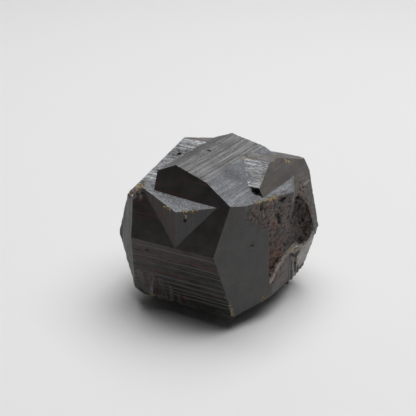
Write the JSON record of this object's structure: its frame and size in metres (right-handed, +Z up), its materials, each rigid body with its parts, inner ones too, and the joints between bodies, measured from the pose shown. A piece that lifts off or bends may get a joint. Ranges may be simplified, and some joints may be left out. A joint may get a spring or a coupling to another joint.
{
  "type": "pyrite crystal",
  "caption": "Blocky pyrite crystal, an iron cross twin of intergrown pyritohedra with striated faces and a dark goethite skin; rests on a flat.",
  "frame": {"origin": "under the middle of the crystal, on the flat that it rests on", "axes": "+Z up; the crystal axes lie along X, Y and Z; the striated lower front face looks towards -Y"},
  "size_m": [0.0406, 0.0452, 0.0371],
  "materials": {
    "goethite_skin": "dark brown-grey natural skin with a soft metallic sheen"
  },
  "bodies": {
    "root": {"pyrite_crystal": "goethite_skin"}
  },
  "joints": []
}
